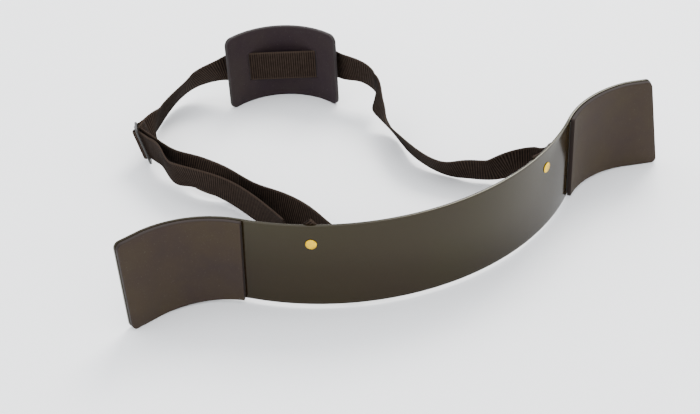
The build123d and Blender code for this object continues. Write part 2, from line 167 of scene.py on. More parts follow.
# ------------------------------------------------------------------ how finely things are cut up
COLUMN_STEP = 3.0         # about one column of a bent sheet, in mm
CORNER_STEPS = 8          # columns round a sheet's corner
EDGE_STEPS = 4            # rings round each quarter of a sheet's edge
EDGE_COLOUR_RINGS = 3             # rings over which the front colour gives way to the edge and back colour
PLATE_ROWS = 34
PAD_ROWS = 30
RIVET_SIDES = 56
STITCH_SIDES = 6
STEP = RIB / 2            # from one section of webbing to the next, in mm
ACROSS = 18               # cells across the webbing's width
ARC_STEP = 0.5            # along a rounded corner of a side view, in mm
ARC_PARTS = 3             # the fewest parts of such a corner
RUN_SAMPLES = 600         # points at which a free stretch is measured
MIDDLE_COLUMNS = 12       # neck pad, from its middle to a slot
OUTER_COLUMNS = 8         # neck pad, from a slot to its corner
SLOT_ROWS = 12            # neck pad, along a slot
END_ROWS = 8              # neck pad, below and above a slot

# ------------------------------------------------------------------ stage, in metres
FLOOR_HALF = 6.0
CAMERA_PLACE = Vector((-0.5203, CROWN_Y * MM - 1.0022, 0.9593))
CAMERA_YAW = math.radians(22.692)
CAMERA_PITCH = math.radians(37.046)
CAMERA_ROLL = math.radians(-3.198)
CAMERA_LENS = 74.26       # in mm, for a sensor this wide, in mm
CAMERA_SENSOR = 36.0
KEY_PLACE = (1.3, 1.2, 2.2)
KEY_SIZE = 1.2
KEY_WATTS = 84


def rotated(vector, axis, degrees):
    """The vector turned about an axis through the origin."""
    return Matrix.Rotation(math.radians(degrees), 3, axis) @ vector


def to_row(x, depth, z):
    """A point given by its depth behind the plate's crown, in the frame, still in mm."""
    return Vector((x, CROWN_Y + depth, z))


def metres(vector):
    """A point in millimetres as the frame has it."""
    return tuple(c * MM for c in vector)


# ------------------------------------------------------------------ meshes
def new_mesh(name, verts, faces, uvs=None):
    """A smooth object from points in millimetres, with an optional UV pair for each point."""
    mesh = bpy.data.meshes.new(name)
    mesh.from_pydata([metres(v) for v in verts], [], faces)
    if uvs is not None:
        layer = mesh.uv_layers.new(name="strip")
        flat = np.array([uvs[loop.vertex_index] for loop in mesh.loops], float) * MM
        layer.data.foreach_set("uv", flat.reshape(-1))
    mesh.polygons.foreach_set("use_smooth", [True] * len(mesh.polygons))
    mesh.validate()
    obj = bpy.data.objects.new(name, mesh)
    bpy.context.collection.objects.link(obj)
    work = bmesh.new()
    work.from_mesh(mesh)
    bmesh.ops.recalc_face_normals(work, faces=work.faces)
    work.to_mesh(mesh)
    work.free()
    return obj


def bands(rows, count, base=0):
    """Quads between rings of points that follow each other, each of count points."""
    faces = []
    for row in range(rows - 1):
        low, high = base + row * count, base + (row + 1) * count
        for k in range(count):
            m = (k + 1) % count
            faces.append([low + k, low + m, high + m, high + k])
    return faces


def turned(profile, origin, axis, across, other, steps, base=0):
    """Points and faces of a turned solid: its profile gives radius and height along the axis."""
    verts = []
    for radius, height in profile:
        for k in range(steps):
            a = 2 * math.pi * k / steps
            around = across * math.cos(a) + other * math.sin(a)
            verts.append(origin + axis * height + around * radius)
    faces = bands(len(profile), steps, base)
    for end in (0, (len(profile) - 1) * steps):
        faces.append([base + end + k for k in range(steps)])
    return verts, faces


def ring_of(count_s, count_z):
    """Indices (column, row) once round the border of a grid."""
    ring = [(i, 0) for i in range(count_s)]
    ring += [(count_s - 1, j) for j in range(1, count_z)]
    ring += [(i, count_z - 1) for i in range(count_s - 2, -1, -1)]
    ring += [(0, j) for j in range(count_z - 2, 0, -1)]
    return ring


def sheet_mesh(name, levels, count_s, count_z, place, skip=()):
    """A sheet with rounded edges: a front and a back grid joined by rings round the border.

    place(i, j, level) gives the point and UV of grid corner (i, j) at a level. skip lists
    rectangles of cells (i0, i1, j0, j1) left open, with walls from front to back. The point
    attribute edge_and_back_face is 0 on the front and 1 on the back and most of the edge."""
    verts, uvs, faces = [], [], []

    def add(i, j, level):
        point, uv = place(i, j, level)
        verts.append(point)
        uvs.append(uv)
        return len(verts) - 1

    front, back = ({(i, j): add(i, j, level) for i in range(count_s) for j in range(count_z)}
                   for level in (levels[0], levels[-1]))
    open_cells = {
        (i, j) for i0, i1, j0, j1 in skip for i in range(i0, i1) for j in range(j0, j1)}
    for grid, order in ((front, 1), (back, -1)):
        for i in range(count_s - 1):
            for j in range(count_z - 1):
                if (i, j) not in open_cells:
                    corners = (i, j), (i + 1, j), (i + 1, j + 1), (i, j + 1)
                    faces.append([grid[c] for c in corners][::order])
    border = ring_of(count_s, count_z)
    rings = [[front[c] for c in border]]
    rings += [[add(i, j, level) for i, j in border] for level in levels[1:-1]]
    rings.append([back[c] for c in border])
    for a, b in zip(rings, rings[1:]):
        for k in range(len(border)):
            m = (k + 1) % len(border)
            faces.append([a[k], b[k], b[m], a[m]])
    for i0, i1, j0, j1 in skip:
        hole = [(i, j0) for i in range(i0, i1)] + [(i1, j) for j in range(j0, j1)]
        hole += [(i, j1) for i in range(i1, i0, -1)] + [(i0, j) for j in range(j1, j0, -1)]
        for corner, after in zip(hole, hole[1:] + hole[:1]):
            faces.append([front[corner], front[after], back[after], back[corner]])
    made = new_mesh(name, verts, faces, uvs)
    cut = made.data.attributes.new("edge_and_back_face", "FLOAT", "POINT")
    for index in back.values():
        cut.data[index].value = 1.0
    for k, ring in enumerate(rings[1:-1], 1):
        for index in ring:
            cut.data[index].value = min(1.0, k / EDGE_COLOUR_RINGS)
    return made


def edge_levels(front, back, radius):
    """(inset, offset) levels from the front face round the edge to the back face."""
    turns = [math.pi / 2 * k / EDGE_STEPS for k in range(EDGE_STEPS + 1)]
    levels = [(radius * (1 - math.sin(a)), front - radius * (1 - math.cos(a))) for a in turns]
    levels += [(radius * (1 - math.cos(a)), back + radius * (1 - math.sin(a))) for a in turns]
    return levels


# ------------------------------------------------------------------ plate line in plan
SEAM_S = PLATE_R * PLATE_ARC
BEND_S = SEAM_S + FLARE_R * FLARE_ARC
TIP_S = BEND_S + FLARE_LIP


def plate_point(s, offset):
    """Plan point of the plate at a developed distance from the crown, offset outwards."""
    side = 1 if s >= 0 else -1
    s = abs(s)
    if s <= SEAM_S:
        angle = s / PLATE_R
        x = (PLATE_R + offset) * math.sin(angle)
        y = PLATE_R - (PLATE_R + offset) * math.cos(angle)
    else:
        centre_x = (PLATE_R + FLARE_R) * math.sin(PLATE_ARC)
        centre_y = PLATE_R - (PLATE_R + FLARE_R) * math.cos(PLATE_ARC)
        angle = PLATE_ARC - min((s - SEAM_S) / FLARE_R, FLARE_ARC)
        lip = max(0.0, s - BEND_S)
        x = centre_x - (FLARE_R - offset) * math.sin(angle) + lip * math.cos(angle)
        y = centre_y + (FLARE_R - offset) * math.cos(angle) + lip * math.sin(angle)
    return side * x, CROWN_Y + y


HALF_WIDTH = plate_point(TIP_S, -PLATE_T)[0]
SEAM_X = plate_point(SEAM_S, 0)[0]
TOP = PLATE_H + 2 * FLARE_GROW


def edge_rise(x, cut=0.0):
    """How far the plate's lower or upper edge is drawn in towards its middle height."""
    foot_x = HALF_WIDTH - FOOT_LENGTH - cut
    share = (x - SEAM_X) / (foot_x - SEAM_X)
    return FLARE_GROW * (1 - min(1.0, max(0.0, share)))


def sheet_columns(start, end, corner):
    """Developed position and rounding angle of a bent sheet's columns, out to its end."""
    straight = end - corner
    count = round((straight - start) / COLUMN_STEP)
    columns = [(start + (straight - start) * k / count, 0.0) for k in range(count + 1)]
    columns += [(straight, math.pi / 2 * k / CORNER_STEPS) for k in range(1, CORNER_STEPS + 1)]
    return columns


# ------------------------------------------------------------------ materials
def material(name):
    """A new node material: itself, its tree and its Principled shader."""
    mat = bpy.data.materials.new(name)
    mat.use_nodes = True
    return mat, mat.node_tree, mat.node_tree.nodes["Principled BSDF"]


def feed(tree, made, inputs):
    """Set or link inputs of a node, by name or number."""
    for key, value in inputs.items():
        if isinstance(value, bpy.types.NodeSocket):
            tree.links.new(value, made.inputs[key])
        else:
            made.inputs[key].default_value = value


def node(tree, kind, inputs=None, **settings):
    """A new node with its settings and inputs."""
    made = tree.nodes.new(kind)
    for key, value in settings.items():
        setattr(made, key, value)
    feed(tree, made, inputs or {})
    return made


def math_node(tree, operation, a, b=0.0, c=0.0):
    """The result of a Math node."""
    return node(tree, "ShaderNodeMath", {0: a, 1: b, 2: c}, operation=operation).outputs[0]


def object_point(tree):
    """The shaded point in the piece's own coordinates, in metres."""
    return node(tree, "ShaderNodeTexCoord").outputs["Object"]


def noise(tree, scale, detail=2.0, rough=0.5):
    """Noise from 0 to 1, scale being about how many blotches there are in a metre."""
    inputs = {"Vector": object_point(tree), "Scale": scale, "Detail": detail, "Roughness": rough}
    return node(tree, "ShaderNodeTexNoise", inputs).outputs["Fac"]


def ramp(tree, fac, stops):
    """A colour ramp from (position, grey or colour) stops."""
    made = node(tree, "ShaderNodeValToRGB", {"Fac": fac})
    elements = made.color_ramp.elements
    for element, (position, value) in zip(elements, stops):
        element.position = position
        colour = (value,) * 3 if isinstance(value, (int, float)) else value
        element.color = (*colour, 1.0)
    return made.outputs["Color"]


def mix_colour(tree, fac, a, b):
    """Colour a where fac is 0, and b where it is 1."""
    a, b = (c if isinstance(c, bpy.types.NodeSocket) else (*c, 1.0) for c in (a, b))
    return node(tree, "ShaderNodeMix", {0: fac, 6: a, 7: b}, data_type="RGBA").outputs[2]


def bump(tree, shader, height, strength, distance, normal=None):
    """Bump on the shader, distance metres deep, over an earlier bump if one is given."""
    inputs = {"Height": height, "Strength": strength, "Distance": distance}
    if normal is not None:
        inputs["Normal"] = normal
    made = node(tree, "ShaderNodeBump", inputs).outputs["Normal"]
    feed(tree, shader, {"Normal": made})
    return made


def plate_paint():
    """Glossy dark olive-brown coat on sheet metal, with faint orange peel, smudges and a
    painted highlight: a pale colour on the sharp rim edges between the pads."""
    mat, tree, shader = material("plate_paint")
    cloud = noise(tree, 7.0, 3.0, 0.55)
    base = ramp(tree, cloud, [(0.36, (0.0105, 0.0050, 0.0018)), (0.64, (0.0110, 0.0066, 0.0012))])
    # painted highlight: the sharp rim edges between the pads are painted a pale grey
    edge = node(tree, "ShaderNodeNewGeometry").outputs["Pointiness"]
    rim_highlight = ramp(tree, edge, [(0.52, 0.0), (0.56, 0.8)])
    x = node(tree, "ShaderNodeSeparateXYZ", {0: object_point(tree)}).outputs[0]
    between_pads = math_node(tree, "LESS_THAN", math_node(tree, "ABSOLUTE", x), SEAM_X * MM)
    rim_highlight = math_node(tree, "MULTIPLY", rim_highlight, between_pads)
    smudge = noise(tree, 28.0, 4.0, 0.6)
    feed(tree, shader, {
        "Base Color": mix_colour(tree, rim_highlight, base, (0.14, 0.14, 0.13)),
        "Roughness": ramp(tree, smudge, [(0.3, 0.10), (0.7, 0.17)]),
        "Specular IOR Level": 0.25,
        "Specular Tint": (1.0, 0.99, 0.76, 1.0),
    })
    bump(tree, shader, noise(tree, 420.0), 0.06, 0.0004)
    return mat


def foam(name, low, high, speck, cut):
    """Closed-cell foam: fine cells, faint mottling, a few pale specks, and its own colour on the
    edge and back faces.
    """
    mat, tree, shader = material(name)
    base = ramp(tree, noise(tree, 14.0, 4.0, 0.6), [(0.3, low), (0.7, high)])
    specks = ramp(tree, noise(tree, 900.0, 1.0), [(0.68, 0.0), (0.76, 1.0)])
    # the edge and back faces take the cut colour: painted shade on the elbow pads' edges, and a
    # paler tone on the neck pad's
    edge_and_back_face = node(tree, "ShaderNodeAttribute", attribute_name="edge_and_back_face").outputs["Fac"]
    feed(tree, shader, {
        "Base Color": mix_colour(tree, edge_and_back_face, mix_colour(tree, specks, base, speck), cut),
        "Roughness": 0.66,
        "Specular IOR Level": 0.14,
        "Sheen Weight": 0.02,
        "Sheen Roughness": 0.5,
    })
    cells = node(
        tree, "ShaderNodeTexVoronoi", {"Vector": object_point(tree), "Scale": 1400.0})
    first = bump(tree, shader, cells.outputs["Distance"], 0.25, 0.0003)
    bump(tree, shader, noise(tree, 120.0, 3.0), 0.12, 0.0006, first)
    return mat


def wave(tree, value, length):
    """A sine wave of a given length in millimetres along a value in metres."""
    turn = math_node(tree, "MULTIPLY", value, 2 * math.pi / (length * MM))
    return math_node(tree, "SINE", turn)


def weave():
    """Flat polypropylene webbing: cross ribs, warp yarns along the length, plain selvedges, and
    painted shade in the grooves with painted light on the rib tops.
    """
    mat, tree, shader = material("webbing_weave")
    uv = node(tree, "ShaderNodeUVMap", uv_map="strip").outputs["UV"]
    along, across = node(tree, "ShaderNodeSeparateXYZ", {0: uv}).outputs[:2]
    ribs = wave(tree, along, RIB)
    woven = math_node(tree, "MULTIPLY", ribs, wave(tree, across, YARN))
    selvedge = math_node(
        tree, "GREATER_THAN", math_node(tree, "ABSOLUTE", across), (WEB_W / 2 - SELVEDGE) * MM)
    # painted light and shade: the colour runs dark in the grooves between the ribs and light on
    # the rib tops
    lift = ramp(tree, math_node(tree, "MULTIPLY_ADD", ribs, 0.5, 0.5), [(0.0, 0.0), (1.0, 1.0)])
    fuzz = noise(tree, 260.0, 3.0, 0.6)
    dark = ramp(tree, fuzz, [(0.3, (0.0040, 0.0026, 0.0019)), (0.7, (0.0075, 0.0050, 0.0037))])
    light = ramp(tree, fuzz, [(0.3, (0.029, 0.0195, 0.0150)), (0.7, (0.043, 0.0295, 0.0220))])
    rib_light_and_shade = mix_colour(tree, lift, dark, light)
    plain = math_node(tree, "MULTIPLY", selvedge, 0.6)
    feed(tree, shader, {
        "Base Color": mix_colour(tree, plain, rib_light_and_shade, (0.040, 0.028, 0.021)),
        "Roughness": 0.8,
        "Specular IOR Level": 0.03,
    })
    first = bump(tree, shader, woven, 0.5, 0.0002)
    bump(tree, shader, fuzz, 0.2, 0.0002, first)
    return mat


def metal(name, colour, dull, rough):
    """Turned or stamped metal: tarnish clouds, fine scratches and uneven polish."""
    mat, tree, shader = material(name)
    feed(tree, shader, {
        "Base Color": ramp(tree, noise(tree, 160.0, 4.0, 0.6), [(0.35, dull), (0.6, colour)]),
        "Metallic": 1.0,
        "Roughness": ramp(tree, noise(tree, 700.0), [(0.3, rough), (0.7, rough + 0.12)]),
    })
    bump(tree, shader, noise(tree, 1500.0), 0.05, 0.0001)
    return mat


def moulded(name, low, high, rough):
    """Satin moulded plastic with a fine spark texture and rubbed patches."""
    mat, tree, shader = material(name)
    rub = noise(tree, 90.0, 3.0)
    feed(tree, shader, {
        "Base Color": ramp(tree, noise(tree, 60.0, 3.0), [(0.35, low), (0.7, high)]),
        "Roughness": ramp(tree, rub, [(0.3, rough - 0.08), (0.7, rough + 0.08)]),
    })
    bump(tree, shader, noise(tree, 2200.0), 0.15, 0.0001)
    return mat


def finish_piece(obj, mat, slot_name, *nodes):
    """Give a piece its material, and hide the CAD nodes it stands for. slot_name is not used."""
    obj.data.materials.clear()
    obj.data.materials.append(mat)
    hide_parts(*nodes)


def paint_nodes(mat, *names):
    """Give CAD nodes that stay a better material."""
    for name in names:
        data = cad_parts[name].data
        data.materials.clear()
        data.materials.append(mat)


# ------------------------------------------------------------------ plate and elbow pads
def bent_sheet(name, sides, start, corner, inset, edge, front, back, rows):
    """A sheet that follows the plate's line in plan, with rounded corners at its free ends."""
    half = sheet_columns(start, TIP_S - inset, corner)
    columns = [(1, s, a) for s, a in half] if 1 in sides else []
    if -1 in sides:
        left = [(-1, s, a) for s, a in reversed(half)]
        columns = (left[:-1] if columns else left) + columns
    levels = edge_levels(front, back, edge)

    def place(i, j, level):
        pull, offset = level
        side, s, angle = columns[i]
        share = j / (rows - 1)
        position = s + (corner - pull) * math.sin(angle)
        drawn = pull + (corner - pull) * (1 - math.cos(angle))
        if start:
            near_seam = max(0.0, 1 - (position - start) / CUT_LENGTH)
            position += SEAM_CUT[side] * (1 - share) * near_seam
            if s == start:
                position += pull
        foot_cut, top_cut = END_CUT[side]
        near_end = max(0.0, 1 - (TIP_S - position) / CUT_LENGTH)
        foot_x = plate_point(position - foot_cut * near_end, 0)[0]
        top_x = plate_point(position - top_cut * near_end, 0)[0]
        low = edge_rise(foot_x) + inset + drawn
        high = TOP - edge_rise(top_x, top_cut) - inset - drawn
        z = low + (high - low) * share
        position -= (foot_cut + (top_cut - foot_cut) * z / TOP) * near_end
        x, y = plate_point(side * position, offset)
        return (x, y, z), (side * position, z)

    return sheet_mesh(name, levels, len(columns), rows, place)


plate = bent_sheet(
    "plate_shell", (-1, 1), 0.0, PLATE_CORNER, 0.0, PLATE_EDGE, 0.0, -PLATE_T, PLATE_ROWS)
finish_piece(plate, plate_paint(), "plate_metal", "arm_plate")
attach(plate, "plate")

# the darker cut colour is painted shade on the elbow pads' edge faces
elbow_foam = foam(
    "elbow_foam", (0.0235, 0.0145, 0.0122), (0.0320, 0.0220, 0.0110),
    speck=(0.050, 0.040, 0.031), cut=(0.0145, 0.0090, 0.0070))
for side, hand in HANDS.items():
    pad = bent_sheet(
        "elbow_foam_" + hand, (side,), SEAM_S, PAD_CORNER, PAD_INSET, PAD_EDGE,
        GLUE_T + PAD_T, GLUE_T, PAD_ROWS)
    finish_piece(pad, elbow_foam, "elbow_foam", "elbow_pad_" + hand)
    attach(pad, "plate")

adhesive = moulded("adhesive_sheet", (0.010, 0.009, 0.008), (0.018, 0.016, 0.014), 0.5)
paint_nodes(adhesive, "elbow_pad_adhesive_left", "elbow_pad_adhesive_right")


# ------------------------------------------------------------------ rivets and washers
def rivet_head(side, hand):
    """A rivet's domed head on the plate's outer face."""
    angle = side * RIVET_ANGLE[side]
    outwards = Vector((math.sin(angle), -math.cos(angle), 0))
    spot = Vector((0, CROWN_Y + PLATE_R, RIVET_Z)) + outwards * PLATE_R
    across = outwards.orthogonal().normalized()
    profile = [(RIVET_HEAD_R - inset, height) for inset, height in HEAD_PROFILE]
    other = outwards.cross(across)
    return new_mesh(
        "rivet_head_" + hand, *turned(profile, spot, outwards, across, other, RIVET_SIDES))


brass = metal("rivet_brass", (0.80, 0.52, 0.012), (0.60, 0.35, 0.004), 0.3)
steel = metal("washer_steel", (0.62, 0.61, 0.58), (0.42, 0.41, 0.39), 0.28)
for side, hand in HANDS.items():
    head = rivet_head(side, hand)
    finish_piece(head, brass, "rivet_brass", "rivet_front_" + hand)
    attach(head, "plate")
    paint_nodes(brass, "rivet_back_" + hand)
    paint_nodes(steel, "rivet_washer_" + hand)


# ------------------------------------------------------------------ webbing
class Section:
    """A cross-section of webbing: its middle, the direction of its run and of its width."""

    def __init__(self, middle, run, width):
        self.middle = Vector(middle)
        self.run = Vector(run).normalized()
        width = Vector(width)
        self.width = (width - self.run * width.dot(self.run)).normalized()


def upright(run):
    """The direction nearest to straight up that is square to a run."""
    return (UP - run * run.z).normalized()


def lean_of(section):
    """How far a section's width is turned from upright about its run, in degrees."""
    rise = upright(section.run)
    sine = rise.cross(section.width).dot(section.run)
    return math.degrees(math.atan2(sine, rise.dot(section.width)))


def cubic(knots, values, spots):
    """Natural cubic curves through values at knots, read at spots, with their slopes."""
    knots, values = np.array(knots, float), np.array(values, float)
    count = len(knots)
    gaps = np.diff(knots)
    rates = np.diff(values, axis=0) / gaps[:, None]
    system = np.zeros((count, count))
    right = np.zeros_like(values)
    system[0, 0] = system[-1, -1] = 1.0
    for i in range(1, count - 1):
        system[i, i - 1:i + 2] = gaps[i - 1], 2 * (gaps[i - 1] + gaps[i]), gaps[i]
        right[i] = 6 * (rates[i] - rates[i - 1])
    bends = np.linalg.solve(system, right)
    found, slopes = [], []
    for spot in spots:
        i = min(max(int(np.searchsorted(knots, spot)) - 1, 0), count - 2)
        h, a, b = gaps[i], knots[i + 1] - spot, spot - knots[i]
        low = values[i] / h - bends[i] * h / 6
        high = values[i + 1] / h - bends[i + 1] * h / 6
        swing = (bends[i] * a ** 3 + bends[i + 1] * b ** 3) / (6 * h)
        found.append(swing + low * a + high * b)
        slopes.append((bends[i + 1] * b ** 2 - bends[i] * a ** 2) / (2 * h) + high - low)
    return np.array(found), np.array(slopes)


def distances(points):
    """How far along a line each of its points lies."""
    return np.concatenate([[0], np.cumsum(np.linalg.norm(np.diff(points, axis=0), axis=1))])


def free_run(points, first, last=None):
    """Sections every half rib along a smooth route: from first, by its stations, to last."""
    stations = [(first.middle, lean_of(first)), (first.middle + first.run * LEAD, lean_of(first))]
    stations += [(to_row(x, depth, z), lean) for x, depth, z, lean in points]
    if last:
        stations.append((last.middle - last.run * LEAD, lean_of(last)))
        stations.append((last.middle, lean_of(last)))
    values = np.array([(*middle, lean) for middle, lean in stations])
    knots = distances(values[:, :3])
    fine = np.linspace(0, knots[-1], RUN_SAMPLES)
    length = distances(cubic(knots, values, fine)[0][:, :3])
    count = round(length[-1] / STEP)
    spots = np.interp(np.linspace(0, length[-1], count + 1), length, fine)
    sections = []
    for place, slope in zip(*cubic(knots, values, spots)):
        run = Vector(slope[:3]).normalized()
        sections.append(Section(place[:3], run, rotated(upright(run), run, place[3])))
    sections[0] = first
    if last:
        sections[-1] = last
    return sections


def side_view(points, radii, plane_origin, run_axis, in_axis, width):
    """Sections along a line drawn in a side view, with its corners rounded."""
    line = [np.array(points[0], float)]
    for k, radius in enumerate(radii, 1):
        before, corner, after = (np.array(points[k + d], float) for d in (-1, 0, 1))
        u, v = before - corner, after - corner
        u, v = u / np.linalg.norm(u), v / np.linalg.norm(v)
        half = math.acos(max(-1, min(1, float(u @ v)))) / 2
        reach = radius / math.tan(half)
        centre = corner + (u + v) / np.linalg.norm(u + v) * radius / math.sin(half)
        start, end = corner + u * reach - centre, corner + v * reach - centre
        a0 = math.atan2(start[1], start[0])
        turn = (math.atan2(end[1], end[0]) - a0 + math.pi) % (2 * math.pi) - math.pi
        count = max(ARC_PARTS, round(abs(turn) * radius / ARC_STEP))
        for m in range(count + 1):
            a = a0 + turn * m / count
            line.append(centre + radius * np.array([math.cos(a), math.sin(a)]))
    line.append(np.array(points[-1], float))
    dense = [line[0]]
    for a, b in zip(line, line[1:]):
        parts = max(1, round(float(np.linalg.norm(b - a)) / STEP))
        dense += [a + (b - a) * m / parts for m in range(1, parts + 1)]
    sections = []
    for k, spot in enumerate(dense):
        ahead = dense[min(k + 1, len(dense) - 1)] - dense[max(k - 1, 0)]
        middle = plane_origin + run_axis * spot[0] + in_axis * spot[1]
        sections.append(Section(middle, run_axis * ahead[0] + in_axis * ahead[1], width))
    return sections


def turned_back(sections):
    """The same stretch, run the other way with its width kept."""
    return [Section(s.middle, -s.run, s.width) for s in reversed(sections)]


def wired(*stretches):
    """Join stretches of sections, leaving out the doubled section where two meet."""
    joined = list(stretches[0])
    for stretch in stretches[1:]:
        joined += stretch[1:]
    return joined


def riveted(side):
    """Sections of a riveted end, from its cut end to where it leaves the plate's back."""
    tilt = ANCHOR_TILT[side]
    radius = PLATE_R - PLATE_T - SEAM_GAP
    length = ANCHOR_END[side] + ANCHOR_LEAD
    count = round(length / STEP)
    sections = []
    for k in range(count + 1):
        distance = -ANCHOR_END[side] + length * k / count
        arc = side * RIVET_ANGLE[side] + distance * math.cos(tilt) / radius
        outwards = Vector((math.sin(arc), -math.cos(arc), 0))
        tangent = Vector((math.cos(arc), math.sin(arc), 0))
        middle = Vector((0, CROWN_Y + PLATE_R, 0)) + outwards * radius
        middle += UP * (RIVET_Z - distance * math.sin(tilt))
        run = tangent * math.cos(tilt) - UP * math.sin(tilt)
        sections.append(Section(middle, run, tangent * math.sin(tilt) + UP * math.cos(tilt)))
    return sections


weave_material = weave()


def webbing(name, sections, *nodes):
    """A ribbon of ribbed webbing through its sections, for the CAD nodes it stands for."""
    half, thick = WEB_W / 2, WEB_T / 2
    flat = [(half - WEB_EDGE) * (-1 + 2 * k / ACROSS) for k in range(ACROSS + 1)]
    ring = [(a, 1) for a in flat] + [(half, 0)] + [(a, -1) for a in reversed(flat)]
    ring.append((-half, 0))
    verts, uvs = [], []
    length = 0.0
    for i, section in enumerate(sections):
        if i:
            length += (section.middle - sections[i - 1].middle).length
        normal = section.run.cross(section.width)
        rib = RIB_HEIGHT * (0.5 if i % 2 else -0.5)
        for a, face in ring:
            edge = max(0.0, (abs(a) - (half - SELVEDGE)) / SELVEDGE)
            height = face * (thick - SELVEDGE_THIN * edge + rib * (1 - SELVEDGE_PLAIN * edge))
            verts.append(section.middle + section.width * a + normal * height)
            uvs.append((length, a))
    count = len(ring)
    faces = bands(len(sections), count)
    for base in (0, (len(sections) - 1) * count):
        for k in range(ACROSS):
            faces.append([base + k, base + k + 1, base + count - 3 - k, base + count - 2 - k])
        faces.append([base + ACROSS, base + ACROSS + 1, base + ACROSS + 2])
        faces.append([base + count - 2, base + count - 1, base])
    made = new_mesh(name, verts, faces, uvs)
    finish_piece(made, weave_material, "webbing", *nodes)
    return made


# the straight span across the neck pad's front
CHORD = Vector((math.cos(NECK_TURN), math.sin(NECK_TURN), 0))
AWAY = Vector((-math.sin(NECK_TURN), math.cos(NECK_TURN), 0))
NECK_CENTRE = to_row(NECK_X, NECK_DEPTH, 0) - AWAY * NECK_R
SPAN_DISTANCE = NECK_R * math.cos(SLOT_ARC)
SPAN_MIDDLE = NECK_CENTRE + AWAY * SPAN_DISTANCE + UP * (NECK_H / 2)
span_steps = round(SPAN_HALF / STEP)
span = [Section(SPAN_MIDDLE + CHORD * (SPAN_HALF * k / span_steps), CHORD, UP)
        for k in range(-span_steps, span_steps + 1)]
span_left = Section(SPAN_MIDDLE - CHORD * SPAN_HALF, -CHORD, UP)
span_right = Section(SPAN_MIDDLE + CHORD * SPAN_HALF, CHORD, UP)

# the slider's axes, and those of the sewn loop round its far bar
SLIDER_MIDDLE = to_row(*SLIDER)
SLIDER_UP = SLIDER_RUN.cross(SLIDER_LONG).normalized().cross(SLIDER_RUN)
SIDE_Y = (-SLIDER_UP).cross(SLIDER_RUN)
LOOP_RUN = rotated(SLIDER_RUN, SLIDER_UP, -LOOP_TURN)
LOOP_Y = (-SLIDER_UP).cross(LOOP_RUN)
LOOP_ORIGIN = SLIDER_MIDDLE + SLIDER_RUN * BAR_OFFSET
LOOP_END = LOOP_ORIGIN + LOOP_RUN * LOOP_SEWN


def polar(start, length, angle):
    """The point at a distance from start, in a direction given in degrees."""
    angle = math.radians(angle)
    return (start[0] + length * math.cos(angle), start[1] + length * math.sin(angle))


tail_corner = (-WRAP_HALF, TAIL_DROP)
back_corner = (WRAP_HALF, BACK_DROP)
wrap = side_view(
    [polar(back_corner, BACK_LEAD, 180 - WRAP_LEAVES), back_corner, (WRAP_HALF, -WRAP_RISE),
     (-WRAP_HALF, -WRAP_RISE), tail_corner, polar(tail_corner, TAIL_LEAD, 180 - WRAP_LEAVES)],
    WRAP_RADII, SLIDER_MIDDLE, SLIDER_RUN, SIDE_Y, SLIDER_UP)
end_loop = side_view(
    [(LOOP_SEWN, SEAM_GAP), (LOOP_MEETS, SEAM_GAP), (LOOP_SHOULDER, LOOP_SIZE),
     (-LOOP_FRONT, LOOP_SIZE), (-LOOP_FRONT, -LOOP_SIZE), (LOOP_SHOULDER, -LOOP_SIZE),
     (LOOP_MEETS, -SEAM_GAP), (LOOP_SEWN, -SEAM_GAP)],
    LOOP_RADII, LOOP_ORIGIN, LOOP_RUN, LOOP_Y, SLIDER_UP)
anchor = {side: riveted(side) for side in HANDS}
to_rivet = {side: turned_back(anchor[side]) for side in HANDS}
right_free = free_run(RIGHT_RUN, span_right, to_rivet[1][0])
left_free = free_run(LEFT_RUN, span_left, Section(LOOP_END, -LOOP_RUN, SLIDER_UP))
back_free = free_run(BACK_RUN, Section(wrap[0].middle, -wrap[0].run, SLIDER_UP), to_rivet[-1][0])
tail_free = free_run(TAIL_RUN, wrap[-1])

neck_right = webbing(
    "neck_webbing_right", wired(right_free, to_rivet[1]),
    "strap_anchor_right", "neck_strap_turn", "neck_strap_right_run")
neck_span = webbing("neck_webbing_span", span, "neck_strap_span")
neck_left = webbing("neck_webbing_left", left_free, "neck_strap_left_run")
neck_loop = webbing("neck_webbing_loop", end_loop, "neck_strap_end_loop")
adjuster_rivet = webbing(
    "adjuster_webbing_riveted", wired(back_free[BACK_SPLIT:], to_rivet[-1]),
    "strap_anchor_left", "adjuster_strap_turn", "adjuster_strap_run")
adjuster_slider = webbing(
    "adjuster_webbing_slider", wired(turned_back(back_free[:BACK_SPLIT + 1]), wrap, tail_free),
    "adjuster_strap_wrap", "adjuster_strap_tail")

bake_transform(neck_right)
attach(neck_span, "strap")
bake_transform(neck_left)
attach(neck_loop, "slider")
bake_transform(adjuster_rivet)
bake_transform(adjuster_slider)


def stitches(name, spots, along, outwards):
    """Short stitches of thread, each a slim bead that lies along a direction."""
    profile = [(girth * THREAD_R, share * STITCH_LENGTH / 2) for share, girth in STITCH_PROFILE]
    side_on = along.cross(outwards)
    verts, faces = [], []
    for spot in spots:
        bead = turned(profile, spot, along, side_on, outwards, STITCH_SIDES, len(verts))
        verts += bead[0]
        faces += bead[1]
    return new_mesh(name, verts, faces)


stitch_spots = []
for face in (-1, 1):
    height = face * (SEAM_GAP + WEB_T / 2 + FACE_GAP)
    for row in STITCH_ROWS:
        row_middle = LOOP_ORIGIN + LOOP_RUN * (LOOP_SEWN - row) + LOOP_Y * height
        for k in range(-STITCHES_EACH_WAY, STITCHES_EACH_WAY + 1):
            stitch_spots.append(row_middle + SLIDER_UP * (STITCH_SPACING * k))
thread = moulded("sewing_thread", (0.016, 0.011, 0.009), (0.030, 0.022, 0.018), 0.6)
loop_stitching = stitches("loop_stitching", stitch_spots, SLIDER_UP, LOOP_Y)
finish_piece(loop_stitching, thread, "webbing")
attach(loop_stitching, "slider")


